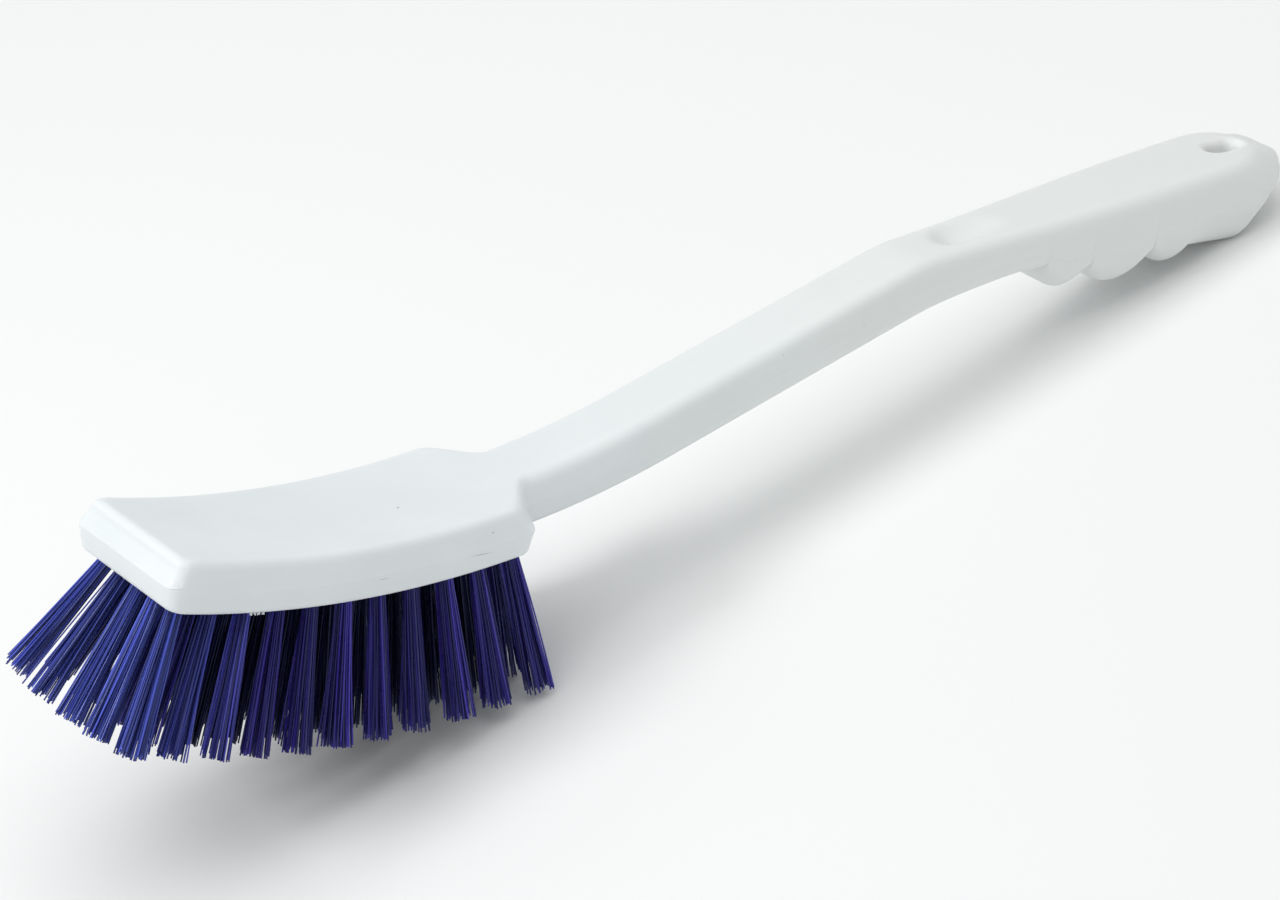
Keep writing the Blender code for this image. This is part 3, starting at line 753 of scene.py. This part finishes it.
def model_tuft(pattern):
    draw = random.Random(FIRST_PATTERN_SEED + pattern)
    copies = []
    for root, tip, length in fan_places(draw):
        copy = copy_piece(filament)
        bow = Vector((draw.gauss(0.0, BOW), draw.gauss(0.0, BOW)))
        lean = (tip - root) / length
        turn = Matrix.Rotation(draw.uniform(0.0, math.tau), 2)
        for vert in copy.data.vertices:
            share = max(vert.co.z / TUFT_LENGTH, 0.0)
            shift = root.lerp(tip, share ** fan_curve) + bow * math.sin(math.pi * share)
            flat = turn @ vert.co.xy
            # The last term keeps a leaning filament's rings, and its tip, square to its length
            height = vert.co.z if share == 0.0 else share * length - flat.dot(lean)
            vert.co = (shift.x + flat.x, shift.y + flat.y, height)
        shade = copy.data.attributes.new("shade", "FLOAT", "POINT")
        shade.data.foreach_set("value", [draw.random()] * len(copy.data.vertices))
        copies.append(copy)
    tuft = join_pieces(copies)
    tuft.name = "tuft_pattern_%d" % pattern
    return tuft


patterns = [model_tuft(pattern) for pattern in range(PATTERNS)]
bpy.data.objects.remove(filament)
print("a tuft:", len(patterns[0].data.polygons), "faces")

# %% [markdown]
# ## The anchor
# Under each fold lies a short piece of flat steel wire, pressed into the hole's wall at both
# ends. It can't be seen once the tuft is in, but it is what holds the tuft, so it is there.
# A cube made flat, with its edges bevelled, is all that such a cut wire needs.

# %% A flat wire anchor
ANCHOR_THICKNESS, ANCHOR_HEIGHT, ANCHOR_EDGE = 0.4 * MM, 2.4 * MM, 0.08 * MM
ANCHOR_DEPTH, ANCHOR_GAP = 6.7 * MM, 0.15 * MM


def model_anchor():
    start_fresh()
    bpy.ops.mesh.primitive_cube_add(size=1.0, location=(0.0, 0.0, -ANCHOR_DEPTH), scale=(
        ANCHOR_THICKNESS, 2 * (HOLE_RADIUS - ANCHOR_GAP), ANCHOR_HEIGHT))
    anchor = bpy.context.object
    bpy.ops.object.transform_apply()
    bpy.ops.object.mode_set(mode="EDIT")
    bpy.ops.mesh.select_all(action="SELECT")
    bpy.ops.mesh.bevel(offset=ANCHOR_EDGE, segments=2)
    bpy.ops.object.mode_set(mode="OBJECT")
    return anchor


anchor = model_anchor()
print("anchor:", len(anchor.data.polygons), "faces")

# %% [markdown]
# ## Adding nodes
# Colours are chosen as hex values and turned to linear light. Nodes could be wired one
# by one, but one helper keeps a finish readable: it adds a node, sets what is a plain value
# and links what is another node's socket.

# %% Colour and node helpers
def linear(code):
    """An sRGB hex colour as linear RGBA."""
    parts = [int(code[place:place + 2], 16) / 255 for place in (1, 3, 5)]
    parts = [part / 12.92 if part <= 0.04045 else ((part + 0.055) / 1.055) ** 2.4 for part in parts]
    return (*parts, 1.0)


def add_node(material, kind, sockets=None, **settings):
    tree = material.node_tree
    node = tree.nodes.new(kind)
    for name, value in settings.items():
        setattr(node, name, value)
    for name, value in (sockets or {}).items():
        if isinstance(value, bpy.types.NodeSocket):
            tree.links.new(value, node.inputs[name])
        else:
            node.inputs[name].default_value = value
    return node


def new_finish(name, **whole):
    """A material whose shader has these values all over its surface."""
    material = bpy.data.materials.new(name)
    material.use_nodes = True
    shader = material.node_tree.nodes["Principled BSDF"]
    for socket, value in whole.items():
        shader.inputs[socket.replace("_", " ")].default_value = value
    return material, shader


print("mid grey as linear light:", round(linear("#808080")[0], 3))

# %% [markdown]
# ## Moulded polypropylene
# The body is white polypropylene, injection moulded against a fine satin tool. Its colour is a
# cool white that varies by a shade where the melt flowed and turns warmer along the handle.
# The surface has the mould's satin gloss and a faint orange peel, and a little light enters it,
# which softens the edges. One flat white would do from afar, but close by the eye looks for the
# dark specks and scuffs of a brush handled in the works. The scuffs could be painted on a map.
# Small soft marks at chosen places need no picture.

# %% Marks of moulding and handling, and painted highlights
# Each mark: its middle and how far it reaches, in millimetres of the moulder's frame, its tone.
# Two white ones are painted highlights on the block's corner, and the widest one is painted light
# on the hanging hole's walls.
marks_and_painted_light = (((102.4, -28.6, -5.3), (4.4, 1.5, 0.13), "#8E9596"),
         ((69.4, -28.6, -7.6), (2.4, 1.5, 0.11), "#ABB2B4"),
         ((105.9, -28.6, 0.8), (0.3, 1.5, 0.3), "#7E8485"),
         ((2.0, -27.0, 0.0), (3.4, 3.4, 0.14), "#AEB5B4"),
         # Painted highlights: two white streaks on the block's front corner
         ((1.3, -26.2, 3.8), (0.8, 0.8, 3.8), "#FFFFFF"),
         ((3.5, -28.5, 3.6), (0.8, 0.8, 3.6), "#FFFFFF"),
         # Painted light: lightens the hanging hole's walls, which are in shade
         ((390.0, 0.0, 71.0), (9.0, 7.0, 18.0), "#FCFDFC"),
         ((319.8, -15.0, 68.7), (1.1, 4.0, 0.5), "#9BA19C"),
         ((215.7, -15.0, 34.9), (0.3, 4.0, 0.3), "#8E9391"),
         ((248.9, -15.0, 52.1), (0.4, 4.0, 0.3), "#8E9391"),
         ((244.6, -15.0, 40.9), (0.3, 4.0, 0.3), "#989D9B"))


def draw_mark(material, colour, where, centre, reach, shade):
    """Blend a small mark with a soft edge over a colour."""
    shift = add_node(material, "ShaderNodeVectorMath", {0: where, 1: Vector(centre) * MM},
                     operation="SUBTRACT")
    share = add_node(material, "ShaderNodeVectorMath", {0: shift.outputs[0], 1: Vector(reach) * MM},
                     operation="DIVIDE")
    far = add_node(material, "ShaderNodeVectorMath", {0: share.outputs[0]}, operation="LENGTH")
    inside = add_node(material, "ShaderNodeMapRange", {"Value": far.outputs["Value"],
                                                       "From Min": 1.0, "From Max": 0.3})
    mixed = add_node(material, "ShaderNodeMix", {"Factor": inside.outputs["Result"], "A": colour,
                                                 "B": linear(shade)}, data_type="RGBA")
    return mixed.outputs["Result"]


print("marks on the body:", len(marks_and_painted_light))

# %% The whites of the moulding
flow_whites, worn_white, speck_grey = ("#E2E9EA", "#E9EEF0"), "#E7EAE8", "#A9ACA6"


def moulding_colour(material, where):
    """Flow tones, dark specks, the warmer handle, and the marks with their painted highlights, as
    one colour socket.
    """
    flow = add_node(material, "ShaderNodeTexNoise", {"Vector": where, "Scale": 1 / (45 * MM),
                                                     "Detail": 3.0, "Roughness": 0.55})
    tone = add_node(material, "ShaderNodeValToRGB", {"Fac": flow.outputs["Fac"]})
    tone.color_ramp.elements[0].position, tone.color_ramp.elements[1].position = 0.3, 0.7
    for element, white in zip(tone.color_ramp.elements, flow_whites):
        element.color = linear(white)
    grime = add_node(material, "ShaderNodeTexNoise", {"Vector": where, "Scale": 1 / (2.4 * MM),
                                                      "Detail": 1.0})
    speck = add_node(material, "ShaderNodeMath", {0: grime.outputs["Fac"], 1: 0.86},
                     operation="GREATER_THAN")
    dirt = add_node(material, "ShaderNodeMix", {"Factor": speck.outputs[0],
                                                "A": tone.outputs["Color"],
                                                "B": linear(speck_grey)}, data_type="RGBA")
    bench = add_node(material, "ShaderNodeMapping", {"Vector": where, "Location": REST_SHIFT,
                                                     "Rotation": (0.0, REST_PITCH, 0.0)},
                     vector_type="TEXTURE")
    along = add_node(material, "ShaderNodeSeparateXYZ", {"Vector": bench.outputs["Vector"]})
    held = add_node(material, "ShaderNodeMapRange", {"Value": along.outputs["X"], "From Min": NECK,
                                                     "From Max": KNEE_TOP, "To Max": 0.8})
    worn = add_node(material, "ShaderNodeMix", {"Factor": held.outputs["Result"],
                                                "A": dirt.outputs["Result"],
                                                "B": linear(worn_white)}, data_type="RGBA")
    colour = worn.outputs["Result"]
    # Some of these marks are painted highlights on the block's corner and painted light in the
    # hanging hole.
    for centre, reach, shade in marks_and_painted_light:
        colour = draw_mark(material, colour, bench.outputs["Vector"], centre, reach, shade)
    return colour


print("whites:", *flow_whites, worn_white)

# %% White polypropylene
def white_polypropylene():
    material, shader = new_finish("moulded_white_polypropylene", IOR=1.49, Subsurface_Weight=0.5,
                                  Subsurface_Radius=(1.0, 1.0, 1.0), Subsurface_Scale=4.0 * MM)
    where = add_node(material, "ShaderNodeTexCoord").outputs["Object"]
    variation = add_node(material, "ShaderNodeTexNoise", {"Vector": where, "Scale": 1 / (14 * MM),
                                                     "Detail": 6.0, "Roughness": 0.7})
    satin = add_node(material, "ShaderNodeMapRange", {"Value": variation.outputs["Fac"],
                                                      "From Min": 0.3, "From Max": 0.7,
                                                      "To Min": 0.50, "To Max": 0.60})
    # Real orange peel is half as wide: it is drawn this coarse to show at all
    peel = add_node(material, "ShaderNodeTexNoise", {"Vector": where, "Scale": 1 / (1.6 * MM),
                                                     "Detail": 2.0})
    bump = add_node(material, "ShaderNodeBump", {"Height": peel.outputs["Fac"], "Strength": 0.10,
                                                 "Distance": 0.06 * MM})
    links = material.node_tree.links
    links.new(moulding_colour(material, where), shader.inputs["Base Color"])
    links.new(satin.outputs["Result"], shader.inputs["Roughness"])
    links.new(bump.outputs["Normal"], shader.inputs["Normal"])
    return material


body_finish = white_polypropylene()
coat(body, body_finish)
print("body's finish:", body_finish.name)

# %% [markdown]
# ## Drilling crumbs
# The drill that makes the tuft holes leaves a few soft crumbs of plastic on the lower edge.
# They could be part of the body's skin, but small balls pushed out of shape and half sunk in
# the edge look the same, and leave the skin smooth.

# %% Crumbs on the near lower edge
CRUMB_RADIUS, CRUMB_ACROSS = 0.5 * MM, -26.9 * MM
CRUMB_SEED, crumb_least_share, crumb_most_share = 9, 0.55, 1.3
crumb_places = [27.2 * MM, 28.5 * MM, 29.6 * MM, 31.2 * MM]


def model_crumbs():
    draw = random.Random(CRUMB_SEED)
    crumbs = []
    for x in crumb_places:
        start_fresh()
        place = Vector((x, CRUMB_ACROSS, arc_height(x, -BOTTOM_DEPTH)))
        bpy.ops.mesh.primitive_ico_sphere_add(subdivisions=2, radius=CRUMB_RADIUS, location=place)
        crumb = bpy.context.object
        bpy.ops.object.transform_apply()
        for vert in crumb.data.vertices:
            vert.co = place + (vert.co - place) * draw.uniform(crumb_least_share, crumb_most_share)
        crumbs.append(crumb)
    heap = join_pieces(crumbs)
    heap.name = "drilling_crumbs"
    return heap


coat(finish_piece(model_crumbs()), body_finish)
print("crumbs:", len(crumb_places))

# %% [markdown]
# ## Drawn polyester
# The bristles are polyester drawn through a die and stretched, so each is smooth and shines
# along its length. They are dyed a deep violet blue all through. The light that enters one comes
# out blue, so its gloss is tinted. Light and shade are painted into the blue: painted light on the
# front tufts, less on the outer rows, and painted shade inside, where they look almost black. Each
# filament could have a material of its own, but one is enough, because it reads the filament's
# tone and its painted light and shade from two attributes.

# %% Blue polyester
def blue_polyester():
    material, shader = new_finish("drawn_blue_polyester", IOR=1.57,
                                  Specular_IOR_Level=0.8, Specular_Tint=linear("#A2AEF2"))
    # This attribute carries painted light and shade: painted light on the front tufts, painted
    # shade on the inner ones.
    variation = add_node(material, "ShaderNodeAttribute", attribute_name="painted_light_and_shade")
    dye_with_painted_shading = add_node(material, "ShaderNodeValToRGB", {"Fac": variation.outputs["Fac"]})
    # The near-black end is painted shade for the inner tufts, and the bright blue end is painted
    # light for the front ones.
    dye_with_painted_shading.color_ramp.elements[0].color = linear("#110C3C")
    dye_with_painted_shading.color_ramp.elements[1].color = linear("#6474EE")
    middle = dye_with_painted_shading.color_ramp.elements.new(0.4)
    middle.color = linear("#4F41B4")
    own = add_node(material, "ShaderNodeAttribute", attribute_name="shade")
    tone = add_node(material, "ShaderNodeValToRGB", {"Fac": own.outputs["Fac"]})
    tone.color_ramp.elements[0].color = linear("#5E5E5E")
    tone.color_ramp.elements[1].color = linear("#FFFFFF")
    common = tone.color_ramp.elements.new(0.65)
    common.color = linear("#A4A4A4")
    colour = add_node(material, "ShaderNodeMix", {"Factor": 1.0, "A": dye_with_painted_shading.outputs["Color"],
                                                  "B": tone.outputs["Color"]},
                      data_type="RGBA", blend_type="MULTIPLY")
    where = add_node(material, "ShaderNodeTexCoord").outputs["Object"]
    drawing = add_node(material, "ShaderNodeTexNoise", {"Vector": where, "Scale": 1 / (6 * MM)})
    gloss = add_node(material, "ShaderNodeMapRange", {"Value": drawing.outputs["Fac"],
                                                      "From Min": 0.3, "From Max": 0.7,
                                                      "To Min": 0.24, "To Max": 0.36})
    material.node_tree.links.new(colour.outputs["Result"], shader.inputs["Base Color"])
    material.node_tree.links.new(gloss.outputs["Result"], shader.inputs["Roughness"])
    return material


bristle_finish = blue_polyester()
print("bristles' finish:", bristle_finish.name)

# %% [markdown]
# ## Zinc plated steel
# The anchors are flat steel wire with a bright coat of zinc. They are hidden once a tuft is in,
# and one grey would do. A hole that is cut open for a lesson shows them, so they get the coat's
# spangle, pale grains where the zinc has set, drawn coarser than the real one so that it shows.

# %% Zinc plated flat wire
def zinc_plated_steel():
    material, shader = new_finish("zinc_plated_flat_steel", Metallic=1.0, Roughness=0.38)
    where = add_node(material, "ShaderNodeTexCoord").outputs["Object"]
    spangle = add_node(material, "ShaderNodeTexNoise", {"Vector": where, "Scale": 1 / (0.6 * MM)})
    tone = add_node(material, "ShaderNodeValToRGB", {"Fac": spangle.outputs["Fac"]})
    tone.color_ramp.elements[0].color = linear("#A3A8AA")
    tone.color_ramp.elements[1].color = linear("#C3C8CA")
    material.node_tree.links.new(tone.outputs["Color"], shader.inputs["Base Color"])
    return material


anchor_finish = zinc_plated_steel()
print("anchors' finish:", anchor_finish.name)

# %% [markdown]
# ## Setting the tufts
# Each tuft is a copy of a pattern with its own anchor under the fold. Instances would be
# lighter, but every tuft is turned about its own length, spread a little more or less, and set
# at its own lean. The front tufts splay most, forward and to both sides. A tip that would pass
# the table or stand outside the room that the brush takes up is drawn back in.

# %% Draw in what stands outside
RINGS, DRAW_IN_TRIES, draw_in_share = len(free_shares) + 1, 8, 0.1


def outside(point):
    """How far a point of the moulder's frame lies outside the room on the table."""
    place = to_table @ point
    return max(max(low_side - side, side - high_side)
               for low_side, side, high_side in zip(cad_low, place, cad_high))


def draw_in(tuft):
    """Shorten each filament whose tip stands outside, by sliding its tip down its length."""
    count = FILAMENT_SIDES * RINGS
    verts = tuft.data.vertices
    for first in range(0, len(verts), count):
        rings = [verts[first + FILAMENT_SIDES * ring:first + FILAMENT_SIDES * (ring + 1)]
                 for ring in range(RINGS)]
        for vert, below in zip(rings[-1], rings[-2]):
            for _ in range(DRAW_IN_TRIES):
                if outside(vert.co) > 0.0:
                    vert.co = vert.co.lerp(below.co, draw_in_share)


print("rings of a filament:", RINGS)

# %% Set a tuft in every hole
FIRST_TUFT_SEED, SWAY = 500, 0.5 * MM
narrowest_share, widest_share = 0.88, 1.08
# The least painted light on the outer rows, and how far back the painted light reaches there and
# inside
least_outer_share, PAINTED_LIGHT_COLUMNS, INNER_PAINTED_LIGHT_COLUMNS = 0.4, 5.0, 2.0


def painted_lighting(column, row):
    """How much painted light a tuft gets: most in front, less along the outside, and painted shade
    inside.
    """
    if row in (0, ROWS - 1) or column == COLUMNS - 1:
        return max(1.0 - column / PAINTED_LIGHT_COLUMNS, least_outer_share)
    return max(1.0 - column / INNER_PAINTED_LIGHT_COLUMNS, 0.0)


def set_tuft(column, row):
    draw = random.Random(FIRST_TUFT_SEED + COLUMNS * row + column)
    tuft, plate = copy_piece(patterns[(column * 2 + row * 3) % PATTERNS]), copy_piece(anchor)
    coat(tuft, bristle_finish)
    coat(plate, anchor_finish)
    turn = Matrix.Rotation(draw.uniform(0.0, math.tau), 4, "Z")
    widen = draw.uniform(narrowest_share, widest_share)
    sway = Vector((draw.gauss(0.0, SWAY), draw.gauss(0.0, SWAY)))
    place = tuft_place(column, row)
    for vert in tuft.data.vertices:
        point = turn @ vert.co
        share = max(point.z / TUFT_LENGTH, 0.0)
        grow = blend(1.0, widen, share)
        point = Vector((point.x * grow + sway.x * share, point.y * grow + sway.y * share, point.z))
        vert.co = place @ point
    draw_in(tuft)
    # Each tuft carries its painted light and shade as an attribute.
    painted_light_and_shade = tuft.data.attributes.new("painted_light_and_shade", "FLOAT", "POINT")
    painted_light_and_shade.data.foreach_set("value", [painted_lighting(column, row)] * len(tuft.data.vertices))
    plate.data.transform(place)
    join_pieces([tuft, plate])
    name = "row%d_%02d" % (row + 1, column + 1)
    tuft.name = "bristles_" + name
    return finish_piece(tuft, "tuft_" + name)


tufts = [set_tuft(column, row) for column, row in all_places()]
for pattern in patterns + [anchor]:
    bpy.data.objects.remove(pattern)
print("tufts:", len(tufts), "with", sum(len(tuft.data.polygons) for tuft in tufts), "faces")

# %% [markdown]
# ## Floor, light and camera
# The brush lies on a plain pale floor in a pale room. Many panels could light it, but two that
# shine on the same edge draw a bright line there. So much of the light is the room's own, the
# same from every side, and one wide panel overhead adds the rest: each edge turns softly from
# the lighter top to the side. A small key panel in front makes the front face the brightest
# and draws streaks on the front tufts. The camera has a long lens and looks at the near side.

# %% Floor
FLOOR_SIZE = 6.0


def lay_floor():
    start_fresh()
    bpy.ops.mesh.primitive_plane_add(size=FLOOR_SIZE)
    floor = bpy.context.object
    floor.name = "pale_floor"
    material, shader = new_finish("pale_paper", Roughness=0.9)
    shader.inputs["Base Color"].default_value = linear("#F4F5F5")
    coat(floor, material)


lay_floor()
print("floor:", FLOOR_SIZE, "m wide")

# %% Light
def hang_panel(name, place, size, power):
    lamp = bpy.data.objects.new(name, bpy.data.lights.new(name, "AREA"))
    bpy.context.scene.collection.objects.link(lamp)
    lamp.data.shape, lamp.data.size, lamp.data.energy = "SQUARE", size, power
    lamp.location = place
    lamp.rotation_euler = (-place).to_track_quat("-Z", "Y").to_euler()


PANEL_DISTANCE, ROOM_STRENGTH = 1.9, 0.5
# Each panel: where it hangs, its side in metres and its watts
panels = {"key": ((-0.728, 0.16, 0.66), 0.5, 10.0), "top": ((0.0, 0.0, 1.0), 2.2, 18.6)}
for side, (direction, size, power) in panels.items():
    hang_panel(side + "_panel", Vector(direction).normalized() * PANEL_DISTANCE, size, power)
room = bpy.data.worlds.new("pale_room")
room.use_nodes = True
background = room.node_tree.nodes["Background"]
background.inputs["Color"].default_value = linear("#FFFFFF")
background.inputs["Strength"].default_value = ROOM_STRENGTH
bpy.context.scene.world = room
bpy.context.scene.view_settings.view_transform = "Standard"
print("panels:", *panels)

# %% Camera
IMAGE_WIDTH, FOCAL_PIXELS, SENSOR_WIDTH = 1280, 5325, 36.0
CAMERA_AIM = Vector((176.15, 1.71, 5.24)) * MM
CAMERA_DISTANCE = 1594.1 * MM
CAMERA_AZIMUTH, CAMERA_ELEVATION, CAMERA_ROLL = (
    math.radians(angle) for angle in (-35.05, 20.66, 4.50))


def place_camera():
    camera = bpy.data.objects.new("camera", bpy.data.cameras.new("camera"))
    bpy.context.scene.collection.objects.link(camera)
    camera.data.sensor_width = SENSOR_WIDTH
    camera.data.lens = FOCAL_PIXELS / IMAGE_WIDTH * SENSOR_WIDTH
    back = Vector((math.sin(CAMERA_AZIMUTH) * math.cos(CAMERA_ELEVATION),
                   -math.cos(CAMERA_AZIMUTH) * math.cos(CAMERA_ELEVATION),
                   math.sin(CAMERA_ELEVATION)))
    upright = (-back).to_track_quat("-Z", "Y").to_matrix().to_4x4()
    camera.matrix_world = (to_table @ Matrix.Translation(CAMERA_AIM + back * CAMERA_DISTANCE)
                           @ upright @ Matrix.Rotation(CAMERA_ROLL, 4, "Z"))
    bpy.context.scene.camera = camera
    return camera


print("lens in mm:", round(place_camera().data.lens, 1))
